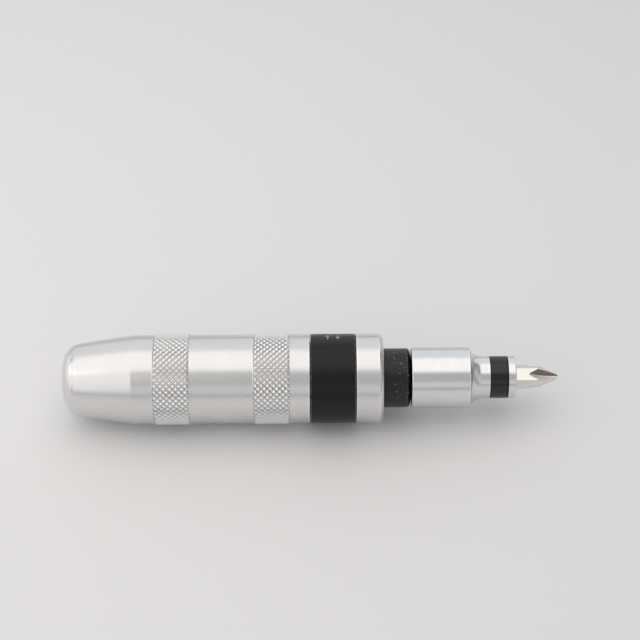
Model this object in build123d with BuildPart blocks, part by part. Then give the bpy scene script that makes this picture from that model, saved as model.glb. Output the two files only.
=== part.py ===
from build123d import *
import os
from math import cos, pi, radians, sin

# A hand impact driver, lying on its side. The tool's axis is the X axis, the centre of the
# striking face is the origin and the bit points along +X. Every size is in millimetres.
# A blow on the face drives the barrel and its cross pin forward over the spindle, and the
# sloped slot that the pin runs in turns the spindle, the bit holder and the bit.

# Fits and gaps that several pieces share
running_clearance = 0.05
face_gap = 0.2
overrun = 2.0

# Striking head and barrel, from the striking face forward
head_radius = 12.8
head_crown = 0.2
head_length = 26.3
face_corner_radius = 6.4
rear_plain_length = 7.6
knurl_length = 13.8
knurl_height = 0.4
knurl_edge = 0.35
grip_length = 23.4
front_plain_length = 7.4
barrel_edge = 0.35

# Walls round the spindle, from the inside outwards
spindle_radius = 11.1
nose_wall = 2.6
ring_wall = 2.95

# Direction ring, its seals and its detents
ring_length = 16.7
ring_edge = 0.35
selector_turn = 40.0
ring_seal_wire_radius = 0.5
ring_seal_inset = 1.2
detent_count = 2
detent_ball_radius = 0.9
detent_ball_reach = 0.25
detent_hole_depth = 6.0
detent_dimple_depth = 0.45

# Drive pin and the sloped slot in the spindle
pin_radius = 3.0
pin_edge = 0.4
pin_clearance = 0.1
key_engagement = 1.4
key_end_gap = 0.15
stroke = 8.0
spindle_turn = 20.0

# Front collar, its bush and its dust seal
collar_edge = 0.3
collar_round = 1.5
thread_length = 5.25
bush_wall = 1.7
bush_length = 2.6
seal_land = 0.4
seal_wire_radius = 0.6
seal_groove_width = 1.4
collar_lip_length = 0.4
collar_lip_clearance = 0.15

# Spindle behind and in front of the pin
spindle_tail_length = 26.0
spindle_tail_edge = 0.6
neck_reach = 10.0
neck_edge = 1.0

# Return spring and the two washers that it stands between
spring_length = 43.0
spring_turns = 8
spring_wire_radius = 1.7
spring_bore_gap = 0.75
spring_seat_thickness = 3.0
rear_washer_thickness = 2.0
washer_gap = 0.35
pilot_length = 3.5
pilot_gap = 0.4
pilot_edge = 0.6

# Square drive and its detent
drive_width = 12.7
drive_corner_radius = 8.35
drive_length = 15.0
drive_edge = 0.8
drive_clearance = 0.12
drive_ball_radius = 2.0
drive_ball_proud = 0.08
drive_spring_length = 3.6
drive_spring_wall = 0.5

# Bit holder
holder_gap = 0.5
holder_wall = 2.95
holder_body_length = 22.1
holder_edge = 0.6
holder_step = 0.25
holder_shoulder_length = 4.95
web_thickness = 4.05
stem_wall = 3.25
stem_plain_length = 2.55
band_length = 6.55
band_thickness = 1.0
band_edge = 0.15
lip_length = 3.1
lip_edge = 0.5

# Bit
hex_width = 8.0
hex_clearance = 0.08
bit_length = 36.0
bit_edge = 0.5
bit_end_gap = 0.3
bit_ball_gap = 0.05
tip_taper_length = 8.0
tip_radius = 0.9
flute_count = 4
flute_length = 11.0
flute_core_radius = 0.5
flute_root_width = 0.5

# How far the bit's flat, and with it the square drive, is turned from straight up
working_turn = 31.0

# Radii worked out from the inside outwards
bore_radius = spindle_radius + running_clearance
nose_radius = bore_radius + nose_wall
barrel_radius = nose_radius + running_clearance + ring_wall
ring_bore_radius = nose_radius + running_clearance
detent_radius = (barrel_radius + nose_radius) / 2
pin_half_length = ring_bore_radius + key_engagement
holder_radius = drive_corner_radius + drive_clearance + holder_wall
hex_corner_radius = hex_width / 2 / cos(radians(30))
socket_flat_radius = hex_width / 2 + hex_clearance
stem_radius = socket_flat_radius / cos(radians(30)) + stem_wall
band_bore_radius = stem_radius - band_thickness

# Places along the axis, from the striking face
rear_knurl_x = head_length + rear_plain_length
front_knurl_x = rear_knurl_x + knurl_length + grip_length
shoulder_x = front_knurl_x + knurl_length + front_plain_length
ring_x = shoulder_x + face_gap
ring_end_x = ring_x + ring_length
pin_x = (ring_x + ring_end_x) / 2
collar_x = ring_end_x + face_gap
nose_end_x = collar_x + thread_length
bush_x = nose_end_x + face_gap
bush_end_x = bush_x + bush_length
seal_groove_x = bush_end_x + seal_land
seal_groove_end_x = seal_groove_x + seal_groove_width
collar_end_x = seal_groove_end_x + collar_lip_length
neck_end_x = collar_end_x + neck_reach
tail_x = pin_x - spindle_tail_length
seat_x = tail_x - spring_seat_thickness
rear_washer_end_x = seat_x - spring_length
bore_bottom_x = rear_washer_end_x - rear_washer_thickness
drive_end_x = neck_end_x + drive_length
holder_x = neck_end_x + holder_gap
body_end_x = holder_x + holder_body_length
stem_x = body_end_x + holder_shoulder_length
band_x = stem_x + stem_plain_length
band_end_x = band_x + band_length
holder_end_x = band_end_x + lip_length
square_bottom_x = drive_end_x + holder_gap
hex_bottom_x = square_bottom_x + web_thickness
bit_x = hex_bottom_x + bit_end_gap
bit_end_x = bit_x + bit_length


def side_direction(turn):
    """The direction square to the axis that lies turn degrees about +X from straight up."""
    return Vector(0, -sin(radians(turn)), cos(radians(turn)))


def cross_plane(x, turn=0.0):
    """A plane across the axis at x, whose own x runs along side_direction(turn)."""
    return Plane(origin=(x, 0, 0), x_dir=side_direction(turn), z_dir=(1, 0, 0))


def side_plane(x, turn):
    """A plane along the axis that faces side_direction(turn), its own x along the tool."""
    return Plane(origin=(x, 0, 0), x_dir=(1, 0, 0), z_dir=side_direction(turn))


def turn_profile(*points, mode=Mode.ADD):
    """Turn an outline of points (x, radius) about the tool's axis, in the open part."""
    with BuildSketch(Plane.XZ) as profile:
        with BuildLine():
            Polyline(*points, close=True)
        make_face()
    revolve(profile.sketch, axis=Axis.X, mode=mode)


def ring_groove(x, length, inner_radius, outer_radius):
    """Cut a square groove round the axis."""
    turn_profile((x, inner_radius), (x, outer_radius), (x + length, outer_radius),
                 (x + length, inner_radius), mode=Mode.SUBTRACT)


# Striking barrel: the solid head and the hollow grip in one piece, with a thinner nose that
# carries the direction ring and the collar. Two slots across the nose let the pin through.
ring_seal_radius = nose_radius - ring_seal_wire_radius
ring_seal_groove_width = 2 * (ring_seal_wire_radius + running_clearance)
ring_seal_places = (ring_x + ring_seal_inset + ring_seal_groove_width / 2,
                    ring_end_x - ring_seal_inset - ring_seal_groove_width / 2)
nose_slot_radius = pin_radius + pin_clearance
crest_radius = barrel_radius + knurl_height

with BuildPart() as striking_barrel:
    with BuildSketch(Plane.XZ) as barrel_outline:
        with BuildLine():
            head_middle = (head_length / 2, (head_radius + barrel_radius) / 2 + head_crown)
            ThreePointArc((0, head_radius), head_middle, (head_length, barrel_radius))
            Polyline((head_length, barrel_radius),
                     (shoulder_x - barrel_edge, barrel_radius),
                     (shoulder_x, barrel_radius - barrel_edge),
                     (shoulder_x, nose_radius), (nose_end_x, nose_radius),
                     (nose_end_x, bore_radius), (bore_bottom_x, bore_radius),
                     (bore_bottom_x, 0), (0, 0), (0, head_radius))
        make_face()
        face_corner = barrel_outline.vertices().group_by(Axis.X)[0].sort_by(Axis.Y)[-1]
        fillet(face_corner, face_corner_radius)
    revolve(axis=Axis.X)
    for knurl_x in (rear_knurl_x, front_knurl_x):
        turn_profile((knurl_x, bore_radius + nose_wall / 2),
                     (knurl_x, barrel_radius),
                     (knurl_x + knurl_edge, crest_radius),
                     (knurl_x + knurl_length - knurl_edge, crest_radius),
                     (knurl_x + knurl_length, barrel_radius),
                     (knurl_x + knurl_length, bore_radius + nose_wall / 2))
    for seal_x in ring_seal_places:
        ring_groove(seal_x - ring_seal_groove_width / 2, ring_seal_groove_width,
                    ring_seal_radius - ring_seal_wire_radius - running_clearance,
                    nose_radius + overrun)
    for slot_end in (0, selector_turn):
        with BuildSketch(side_plane(pin_x, slot_end)):
            Circle(nose_slot_radius)
        extrude(amount=barrel_radius, both=True, mode=Mode.SUBTRACT)
    for side in (1, -1):
        with BuildSketch(Plane.XZ):
            with Locations((pin_x, side * (bore_radius + nose_wall / 2))):
                Rectangle(2 * nose_slot_radius, nose_wall + overrun)
        revolve(axis=Axis.X, revolution_arc=selector_turn, mode=Mode.SUBTRACT)
    with BuildSketch(Plane.YZ.offset(shoulder_x)):
        with PolarLocations(detent_radius, detent_count):
            Circle(detent_ball_radius + running_clearance)
    extrude(amount=-detent_hole_depth, mode=Mode.SUBTRACT)
striking_barrel.part.label = "striking_barrel"


# Seals under the two ends of the direction ring, which keep its grease in
def ring_seal(x):
    """A round rubber ring in one groove of the nose."""
    with BuildPart() as seal:
        with BuildSketch(Plane.XZ):
            with Locations((x, ring_seal_radius)):
                Circle(ring_seal_wire_radius)
        revolve(axis=Axis.X)
    return seal.part


ring_seal_rear = ring_seal(ring_seal_places[0])
ring_seal_rear.label = "ring_seal_rear"
ring_seal_front = ring_seal(ring_seal_places[1])
ring_seal_front.label = "ring_seal_front"

# Detents: balls in the barrel's shoulder, each pushed forward by a small coil spring, shown
# as a sleeve. They stand as far out as the track in the ring lets them while the ring turns.
detent_ball_x = ring_x + detent_ball_reach - detent_ball_radius
detent_spring_end_x = detent_ball_x - detent_ball_radius
detent_spring_x = shoulder_x - detent_hole_depth

with BuildPart() as detent_balls:
    with Locations(Plane.YZ.offset(detent_ball_x)):
        with PolarLocations(detent_radius, detent_count):
            Sphere(detent_ball_radius)
detent_balls.part.label = "detent_balls"

with BuildPart() as detent_springs:
    with BuildSketch(Plane.YZ.offset(detent_spring_x)):
        with PolarLocations(detent_radius, detent_count):
            Circle(detent_ball_radius - running_clearance)
            Circle(detent_ball_radius / 2, mode=Mode.SUBTRACT)
    extrude(amount=detent_spring_end_x - detent_spring_x)
detent_springs.part.label = "detent_springs"

# Direction ring: turns on the nose between its two ends of travel. The pin's ends sit in
# two keyways that are open to the front, and a track with a dimple at each end takes a ball.
dimple_radius = detent_ball_radius + detent_dimple_depth - detent_ball_reach

with BuildPart() as direction_ring:
    turn_profile((ring_x, ring_bore_radius), (ring_x, barrel_radius - ring_edge),
                 (ring_x + ring_edge, barrel_radius), (ring_end_x - ring_edge, barrel_radius),
                 (ring_end_x, barrel_radius - ring_edge), (ring_end_x, ring_bore_radius))
    key_height = 2 * (pin_half_length + key_end_gap)
    with BuildSketch(Plane.XY.offset(-key_height / 2)):
        with Locations((pin_x, 0)):
            Circle(pin_radius + running_clearance)
            Rectangle(ring_length / 2 + overrun, 2 * (pin_radius + running_clearance),
                      align=(Align.MIN, Align.CENTER))
    extrude(amount=key_height, mode=Mode.SUBTRACT)
    for detent in range(detent_count):
        detent_turn = 360 / detent_count * detent
        with BuildSketch(side_plane(detent_ball_x, detent_turn)):
            with Locations((0, detent_radius)):
                Circle(detent_ball_radius + running_clearance)
        revolve(axis=Axis.X.reverse(), revolution_arc=selector_turn, mode=Mode.SUBTRACT)
        for dimple_turn in (detent_turn, detent_turn - selector_turn):
            with Locations(side_plane(detent_ball_x, dimple_turn)):
                with Locations((0, detent_radius)):
                    Sphere(dimple_radius, mode=Mode.SUBTRACT)
direction_ring.part.label = "direction_ring"

# Drive pin: a hard cross pin through the nose and the spindle, upright at rest
with BuildPart() as drive_pin:
    with BuildSketch(Plane.XY.offset(-pin_half_length)):
        with Locations((pin_x, 0)):
            Circle(pin_radius)
    extrude(amount=2 * pin_half_length)
    chamfer(drive_pin.edges().filter_by(GeomType.CIRCLE), pin_edge)
drive_pin.part.label = "drive_pin"

# Front collar: screwed on the nose in front of the ring. It holds the bush and the seal.
bush_radius = bore_radius + bush_wall
seal_radius = bore_radius + seal_wire_radius

with BuildPart() as front_collar:
    turn_profile((collar_x, nose_radius), (collar_x, barrel_radius - collar_edge),
                 (collar_x + collar_edge, barrel_radius), (collar_end_x, barrel_radius),
                 (collar_end_x, bore_radius + collar_lip_clearance),
                 (bush_end_x, bore_radius + collar_lip_clearance),
                 (bush_end_x, bush_radius), (bush_x, bush_radius), (bush_x, nose_radius))
    front_rim = front_collar.edges().filter_by(GeomType.CIRCLE).group_by(Axis.X)[-1]
    fillet(front_rim.sort_by(SortBy.RADIUS)[-1], collar_round)
    ring_groove(seal_groove_x, seal_groove_width, spindle_radius,
                seal_radius + seal_wire_radius)
front_collar.part.label = "front_collar"

with BuildPart() as front_bush:
    turn_profile((bush_x, bore_radius), (bush_x, bush_radius),
                 (bush_end_x, bush_radius), (bush_end_x, bore_radius))
front_bush.part.label = "front_bush"

with BuildPart() as dust_seal:
    with BuildSketch(Plane.XZ):
        with Locations(((seal_groove_x + seal_groove_end_x) / 2, seal_radius)):
            Circle(seal_wire_radius)
    revolve(axis=Axis.X)
dust_seal.part.label = "dust_seal"

# Spindle: a round shank with the three-cornered slot milled through it, the neck in front
# of the collar and the square drive. At rest the pin stands in one rear corner of the slot.
slot_corner_radius = pin_radius / cos(radians(spindle_turn)) + pin_clearance
slot_half_width = spindle_radius * sin(radians(spindle_turn))
drive_hole_depth = drive_spring_length + 2 * drive_ball_radius - drive_ball_proud

with BuildPart() as spindle:
    turn_profile((tail_x, 0), (tail_x, spindle_radius - spindle_tail_edge),
                 (tail_x + spindle_tail_edge, spindle_radius),
                 (neck_end_x - neck_edge, spindle_radius),
                 (neck_end_x, spindle_radius - neck_edge), (neck_end_x, 0))
    with BuildSketch(cross_plane(neck_end_x, working_turn)):
        Rectangle(drive_width, drive_width)
        Circle(drive_corner_radius, mode=Mode.INTERSECT)
    extrude(amount=drive_length)
    chamfer(spindle.faces().sort_by(Axis.X)[-1].edges(), drive_edge)
    with BuildSketch(side_plane(pin_x, spindle_turn)):
        with BuildLine():
            Polyline((0, slot_half_width), (0, -slot_half_width), (stroke, 0), close=True)
        make_face()
        offset(amount=slot_corner_radius)
    extrude(amount=spindle_radius + overrun, both=True, mode=Mode.SUBTRACT)
    drive_ball_x = (neck_end_x + drive_end_x) / 2
    with BuildSketch(side_plane(drive_ball_x, working_turn).offset(drive_width / 2)):
        Circle(drive_ball_radius + running_clearance)
    extrude(amount=-drive_hole_depth, mode=Mode.SUBTRACT)
spindle.part.label = "spindle"

# Ball and spring that hold the bit holder on the square, pushed in as they are inside it
drive_ball_height = drive_width / 2 + drive_ball_proud - drive_ball_radius

with BuildPart() as square_detent_ball:
    with Locations(side_plane(drive_ball_x, working_turn).offset(drive_ball_height)):
        Sphere(drive_ball_radius)
square_detent_ball.part.label = "square_detent_ball"

with BuildPart() as square_detent_spring:
    spring_top = drive_ball_height - drive_ball_radius
    with BuildSketch(side_plane(drive_ball_x, working_turn).offset(spring_top)):
        Circle(drive_ball_radius - running_clearance)
        Circle(drive_ball_radius - running_clearance - drive_spring_wall, mode=Mode.SUBTRACT)
    extrude(amount=-drive_spring_length)
square_detent_spring.part.label = "square_detent_spring"

# Return spring: a stout coil between two washers, whose pilots keep it central
spring_radius = bore_radius - spring_bore_gap - spring_wire_radius
spring_start_x = rear_washer_end_x + spring_wire_radius + running_clearance
spring_end_x = seat_x - spring_wire_radius - running_clearance
pilot_radius = spring_radius - spring_wire_radius - pilot_gap
washer_radius = bore_radius - washer_gap


def coil_point(turns, start_x, end_x, turn_count, radius):
    """The point on a coil about the axis after so many turns."""
    angle = 2 * pi * turns
    return Vector(start_x + (end_x - start_x) * turns / turn_count,
                  radius * cos(angle), radius * sin(angle))


def coil_tangent(turns, start_x, end_x, turn_count, radius):
    """The direction in which that coil runs there."""
    angle = 2 * pi * turns
    rise = (end_x - start_x) / turn_count
    around = 2 * pi * radius
    return Vector(rise, -around * sin(angle), around * cos(angle)).normalized()


def coil_arcs(start_x, end_x, turn_count, radius):
    """Draw a coil in the open line as two arcs for each quarter turn."""
    coil = (start_x, end_x, turn_count, radius)
    for quarter in range(4 * turn_count):
        start = coil_point(quarter / 4, *coil)
        end = coil_point((quarter + 1) / 4, *coil)
        leaving = coil_tangent(quarter / 4, *coil)
        arriving = coil_tangent((quarter + 1) / 4, *coil)
        along = (end - start).dot(leaving + arriving)
        bend = 2 * (1 - leaving.dot(arriving))
        chord = (end - start).length
        reach = ((along ** 2 + bend * chord ** 2) ** 0.5 - along) / bend
        first_corner = start + leaving * reach
        last_corner = end - arriving * reach
        middle = (first_corner + last_corner) / 2
        TangentArc(start, middle, tangent=leaving)
        TangentArc(middle, end, tangent=last_corner - first_corner)


def coil_gap(start_x, end_x, turn_count, radius, wire_radius):
    """The least gap between two turns, measured on points along the coil."""
    steps = 24
    points = [coil_point(step / steps, start_x, end_x, turn_count, radius)
              for step in range(steps * turn_count + 1)]
    return min((points[near] - points[far]).length
               for near in range(len(points))
               for far in range(near + steps // 2, len(points))) - 2 * wire_radius


with BuildPart() as return_spring:
    with BuildLine() as spring_path:
        coil_arcs(spring_start_x, spring_end_x, spring_turns, spring_radius)
    spring_wire = spring_path.wires()[0]
    with BuildSketch(Plane(origin=spring_wire @ 0, z_dir=spring_wire % 0)):
        Circle(spring_wire_radius)
    sweep(path=spring_wire)
return_spring.part.label = "return_spring"
print("return spring gap", round(coil_gap(spring_start_x, spring_end_x, spring_turns,
                                          spring_radius, spring_wire_radius), 2))

# Hard washer on the bottom of the bore, and the seat between the spring and the spindle
with BuildPart() as rear_washer:
    turn_profile((bore_bottom_x, 0), (bore_bottom_x, washer_radius),
                 (rear_washer_end_x, washer_radius), (rear_washer_end_x, pilot_radius),
                 (rear_washer_end_x + pilot_length - pilot_edge, pilot_radius),
                 (rear_washer_end_x + pilot_length, pilot_radius - pilot_edge),
                 (rear_washer_end_x + pilot_length, 0))
rear_washer.part.label = "rear_washer"

with BuildPart() as spring_seat:
    turn_profile((tail_x, 0), (tail_x, spindle_radius), (seat_x, spindle_radius),
                 (seat_x, pilot_radius), (seat_x - pilot_length + pilot_edge, pilot_radius),
                 (seat_x - pilot_length, pilot_radius - pilot_edge),
                 (seat_x - pilot_length, 0))
spring_seat.part.label = "spring_seat"

# Bit holder: a square socket behind, a hexagon socket in front and a waist between them
shoulder_top_radius = holder_radius - holder_edge - holder_step
bit_ball_radius = (band_bore_radius - hex_width / 2) / 2 - bit_ball_gap
bit_ball_height = hex_width / 2 + bit_ball_gap + bit_ball_radius
band_middle_x = (band_x + band_end_x) / 2

with BuildPart() as bit_holder:
    with BuildSketch(Plane.XZ):
        with BuildLine():
            Polyline((stem_x, stem_radius), (band_x, stem_radius),
                     (band_x, band_bore_radius), (band_end_x, band_bore_radius),
                     (band_end_x, stem_radius), (holder_end_x - lip_edge, stem_radius),
                     (holder_end_x, stem_radius - lip_edge), (holder_end_x, 0),
                     (holder_x, 0), (holder_x, holder_radius - holder_edge),
                     (holder_x + holder_edge, holder_radius),
                     (body_end_x - holder_edge, holder_radius),
                     (body_end_x, holder_radius - holder_edge),
                     (body_end_x, shoulder_top_radius))
            TangentArc((stem_x, stem_radius), (body_end_x, shoulder_top_radius),
                       tangent=(-1, 0))
        make_face()
    revolve(axis=Axis.X)
    with BuildSketch(cross_plane(holder_x, working_turn)):
        Rectangle(drive_width + 2 * drive_clearance, drive_width + 2 * drive_clearance)
        Circle(drive_corner_radius + drive_clearance, mode=Mode.INTERSECT)
    extrude(amount=square_bottom_x - holder_x, mode=Mode.SUBTRACT)
    with BuildSketch(cross_plane(hex_bottom_x, working_turn)):
        RegularPolygon(socket_flat_radius, 6, major_radius=False, rotation=30)
    extrude(amount=holder_end_x - hex_bottom_x, mode=Mode.SUBTRACT)
    with BuildSketch(side_plane(band_middle_x, working_turn)):
        Circle(bit_ball_radius + running_clearance)
    extrude(amount=stem_radius, mode=Mode.SUBTRACT)
bit_holder.part.label = "bit_holder"

with BuildPart() as bit_retaining_ball:
    with Locations(side_plane(band_middle_x, working_turn).offset(bit_ball_height)):
        Sphere(bit_ball_radius)
bit_retaining_ball.part.label = "bit_retaining_ball"

# Band round the waist, which covers the ball and presses it inwards
with BuildPart() as holder_band:
    turn_profile((band_x, band_bore_radius), (band_x, stem_radius - band_edge),
                 (band_x + band_edge, stem_radius), (band_end_x - band_edge, stem_radius),
                 (band_end_x, stem_radius - band_edge), (band_end_x, band_bore_radius))
holder_band.part.label = "holder_band"

# Cross-point bit: a hexagon bar with a turned point and four flutes, each cut by a wheel
# with a V edge whose centre stands beside the point
flute_depth = hex_width / 2 - flute_core_radius
wheel_radius = (flute_depth ** 2 + flute_length ** 2) / (2 * flute_depth)
wheel_edge_width = 2 * hex_corner_radius + flute_root_width

with BuildPart() as phillips_bit:
    with BuildSketch(cross_plane(bit_x, working_turn)):
        RegularPolygon(hex_width / 2, 6, major_radius=False, rotation=30)
    extrude(amount=bit_length)
    turn_profile((bit_x, 0), (bit_x, hex_corner_radius - bit_edge),
                 (bit_x + bit_edge, hex_corner_radius),
                 (bit_end_x - tip_taper_length, hex_corner_radius),
                 (bit_end_x, tip_radius), (bit_end_x, 0), mode=Mode.INTERSECT)
    for flute in range(flute_count):
        flute_turn = working_turn + 360 / flute_count * flute
        outward = side_direction(flute_turn)
        wheel_centre = Vector(bit_end_x, 0, 0) + outward * (flute_core_radius + wheel_radius)
        wheel_axis = Axis(wheel_centre, Vector(1, 0, 0).cross(outward))
        with BuildSketch(Plane(origin=wheel_centre, x_dir=wheel_axis.direction,
                               z_dir=(1, 0, 0))):
            with BuildLine():
                rim = -wheel_radius
                Polyline((-flute_root_width / 2, rim), (flute_root_width / 2, rim),
                         (wheel_edge_width / 2, rim + hex_corner_radius),
                         (-wheel_edge_width / 2, rim + hex_corner_radius), close=True)
            make_face()
        revolve(axis=wheel_axis, mode=Mode.SUBTRACT)
phillips_bit.part.label = "phillips_bit"

os.makedirs("parts", exist_ok=True)
for piece in (striking_barrel.part, ring_seal_rear, ring_seal_front, detent_balls.part,
              detent_springs.part, direction_ring.part, drive_pin.part, front_collar.part,
              front_bush.part, dust_seal.part, spindle.part, square_detent_ball.part,
              square_detent_spring.part, return_spring.part, rear_washer.part,
              spring_seat.part, bit_holder.part, bit_retaining_ball.part, holder_band.part,
              phillips_bit.part):
    export_step(piece, "parts/" + piece.label + ".step")
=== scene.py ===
from math import asin, atan, cos, pi, radians, sin

import bmesh
import bpy
from mathutils import Matrix, Vector


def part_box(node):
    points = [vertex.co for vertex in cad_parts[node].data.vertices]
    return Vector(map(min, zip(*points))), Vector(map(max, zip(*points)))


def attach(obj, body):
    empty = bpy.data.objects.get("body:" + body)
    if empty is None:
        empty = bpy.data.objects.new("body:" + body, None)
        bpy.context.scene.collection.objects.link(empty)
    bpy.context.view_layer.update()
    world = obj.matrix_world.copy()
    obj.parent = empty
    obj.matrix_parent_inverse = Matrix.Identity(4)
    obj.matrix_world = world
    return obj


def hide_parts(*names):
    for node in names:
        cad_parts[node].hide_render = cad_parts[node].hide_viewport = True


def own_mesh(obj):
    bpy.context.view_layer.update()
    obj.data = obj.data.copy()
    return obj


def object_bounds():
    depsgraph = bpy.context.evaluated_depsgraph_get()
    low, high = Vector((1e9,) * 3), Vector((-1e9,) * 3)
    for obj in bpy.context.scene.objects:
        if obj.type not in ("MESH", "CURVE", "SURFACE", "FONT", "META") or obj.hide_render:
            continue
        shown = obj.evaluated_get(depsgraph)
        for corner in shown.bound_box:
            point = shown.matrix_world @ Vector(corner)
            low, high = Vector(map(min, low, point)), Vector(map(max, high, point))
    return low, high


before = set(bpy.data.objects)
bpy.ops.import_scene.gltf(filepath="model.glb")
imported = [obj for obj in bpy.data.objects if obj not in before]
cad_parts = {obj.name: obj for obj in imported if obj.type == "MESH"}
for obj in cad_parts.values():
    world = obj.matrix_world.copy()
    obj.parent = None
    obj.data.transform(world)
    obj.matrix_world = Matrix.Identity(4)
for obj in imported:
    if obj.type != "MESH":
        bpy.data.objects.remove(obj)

cad_low, cad_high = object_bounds()

# Striking barrel: one turned steel bar with a solid domed head, a hollow grip and a thin nose.
# Two bands of its skin are rolled to a coarse diamond knurl, and the rest is blasted to a satin.
mm = 0.001
barrel_low, barrel_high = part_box("striking_barrel")
ring_low, ring_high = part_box("direction_ring")
collar_low, collar_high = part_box("front_collar")
washer_low, washer_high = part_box("rear_washer")
pin_low, pin_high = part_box("drive_pin")
detent_low, detent_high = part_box("detent_balls")

fit_gap = 0.05 * mm
face_gap = 0.2 * mm
overrun = 2 * mm
weld_reach = 0.002 * mm
place_reach = 0.01 * mm
crest_inset = 0.01 * mm
ring_wall = 2.95 * mm
washer_gap = 0.35 * mm
crest_radius = -barrel_low.z - crest_inset
plain_radius = ring_high.z
nose_radius = plain_radius - ring_wall - fit_gap
bore_radius = (washer_high.z - washer_low.z) / 2 + washer_gap
bore_bottom_x = washer_low.x
head_radius = 12.8 * mm
head_crown = 0.2 * mm
head_length = 26.3 * mm
face_corner = 6.4 * mm
face_corner_share = 0.86
face_corner_steps = 12
chamfer, small_round, fine_round = 1, 2, 3
knurl_length = 13.8 * mm
rear_knurl_x = 33.9 * mm
front_knurl_x = 71.1 * mm
shoulder_x = ring_low.x - face_gap - fit_gap
shoulder_edge = 0.2 * mm
nose_end_x = barrel_high.x
nose_edge = 0.3 * mm
pin_x = (pin_low.x + pin_high.x) / 2
pin_radius = (pin_high.x - pin_low.x) / 2
selector_turn = 40
detent_depth = 6.0 * mm
lathe_sides = 92


def select_where(edit_mesh, kind, test):
    """Select just the vertices, edges or faces of the open mesh that pass a test."""
    bpy.ops.mesh.select_all(action="DESELECT")
    bpy.ops.mesh.select_mode(type=kind)
    opened = bmesh.from_edit_mesh(edit_mesh)
    for item in {"VERT": opened.verts, "EDGE": opened.edges, "FACE": opened.faces}[kind]:
        item.select = test(item)
    opened.select_flush_mode()
    bmesh.update_edit_mesh(edit_mesh)


def start_piece(name, add, **settings):
    """Add a primitive under a name, alone in the selection, and open it in edit mode."""
    bpy.ops.object.select_all(action="DESELECT")
    add(**settings)
    bpy.context.object.name = name
    bpy.context.object.data.name = name
    bpy.ops.object.transform_apply(location=True, rotation=True, scale=True)
    bpy.ops.object.mode_set(mode="EDIT")
    bpy.ops.mesh.select_mode(type="VERT")
    bpy.ops.mesh.select_all(action="SELECT")
    return bpy.context.object


def draw_outline(name, points):
    """Start a piece from one corner, drawn out edge by edge through its points (x, radius)."""
    x, radius = points[0]
    piece = start_piece(name, bpy.ops.mesh.primitive_plane_add, size=mm)
    bpy.ops.mesh.merge(type="CENTER")
    bpy.ops.transform.translate(value=(x, 0, radius))
    for (x, radius), (next_x, next_radius) in zip(points, points[1:]):
        step = (next_x - x, 0, next_radius - radius)
        bpy.ops.mesh.extrude_region_move(TRANSFORM_OT_translate={"value": step})
    return piece


def round_corner(piece, x, radius, size, steps, profile=0.5):
    """Round the corner of the outline at (x, radius) in so many steps, flatter with a lower
    profile. One step cuts it off straight."""
    corner = Vector((x, 0, radius))
    select_where(piece.data, "VERT", lambda vert: (vert.co - corner).length < place_reach)
    bpy.ops.mesh.bevel(offset=size, segments=steps, profile=profile, affect="VERTICES")


def turn_on_lathe(piece, sides, *creases):
    """Spin the open outline about the tool's axis, close its seam and poles, keep the edges
    round it at these places along the axis crisp, and leave it."""
    bpy.ops.mesh.select_all(action="SELECT")
    bpy.ops.mesh.spin(steps=sides, angle=2 * pi, center=(0, 0, 0), axis=(1, 0, 0))
    bpy.ops.mesh.select_all(action="SELECT")
    bpy.ops.mesh.remove_doubles(threshold=weld_reach)
    bpy.ops.mesh.normals_make_consistent(inside=False)
    for crease in creases:
        select_where(piece.data, "EDGE", lambda edge: all(
            abs(vert.co.x - crease) < place_reach for vert in edge.verts))
        bpy.ops.mesh.mark_sharp()
    bpy.ops.object.mode_set(mode="OBJECT")
    return piece


def side_direction(turn):
    """The direction square to the axis that lies turn degrees about +X from straight up."""
    return Vector((0, -sin(radians(turn)), cos(radians(turn))))


def add_peg(radius, start, end, sides=40):
    """A round cutter from one point to another."""
    peg = start_piece("peg", bpy.ops.mesh.primitive_cylinder_add, vertices=sides, radius=radius,
                      depth=(end - start).length, location=(start + end) / 2,
                      rotation=(end - start).to_track_quat("Z", "Y").to_euler())
    bpy.ops.object.mode_set(mode="OBJECT")
    return peg


def add_sector(low_x, high_x, low_radius, high_radius, start_turn, end_turn):
    """A cutter shaped as part of a ring about the tool's axis, between two turns of it."""
    sector = draw_outline("sector", [(low_x, low_radius), (high_x, low_radius),
                                     (high_x, high_radius), (low_x, high_radius),
                                     (low_x, low_radius)])
    turn_on_lathe(sector, lathe_sides)
    bpy.ops.object.mode_set(mode="EDIT")
    for turn in (start_turn - 90, end_turn + 90):
        bpy.ops.mesh.select_all(action="SELECT")
        bpy.ops.mesh.bisect(plane_co=(0, 0, 0), plane_no=side_direction(turn), use_fill=True,
                            clear_outer=True)
    bpy.ops.object.mode_set(mode="OBJECT")
    return sector


def pick(first, *others):
    """Select just these objects, the first of them active."""
    bpy.ops.object.select_all(action="DESELECT")
    for item in (first, *others):
        item.select_set(True)
    bpy.context.view_layer.objects.active = first


def shape_with(piece, tool, operation="DIFFERENCE"):
    """Cut a piece with a closed shape, or trim or join it, and take that shape away."""
    pick(piece)
    cut = piece.modifiers.new("cut", "BOOLEAN")
    cut.operation = operation
    cut.object = tool
    bpy.ops.object.modifier_apply(modifier=cut.name)
    bpy.data.objects.remove(tool)


def clean_cuts(piece, reach=weld_reach):
    """Merge the slivers that cuts leave where edges nearly meet, and fill a facet they lose."""
    pick(piece)
    bpy.ops.object.mode_set(mode="EDIT")
    bpy.ops.mesh.select_all(action="SELECT")
    bpy.ops.mesh.remove_doubles(threshold=reach)
    bpy.ops.mesh.dissolve_degenerate(threshold=reach)
    bpy.ops.mesh.select_all(action="SELECT")
    bpy.ops.mesh.fill_holes(sides=4)
    bpy.ops.object.mode_set(mode="OBJECT")


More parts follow.
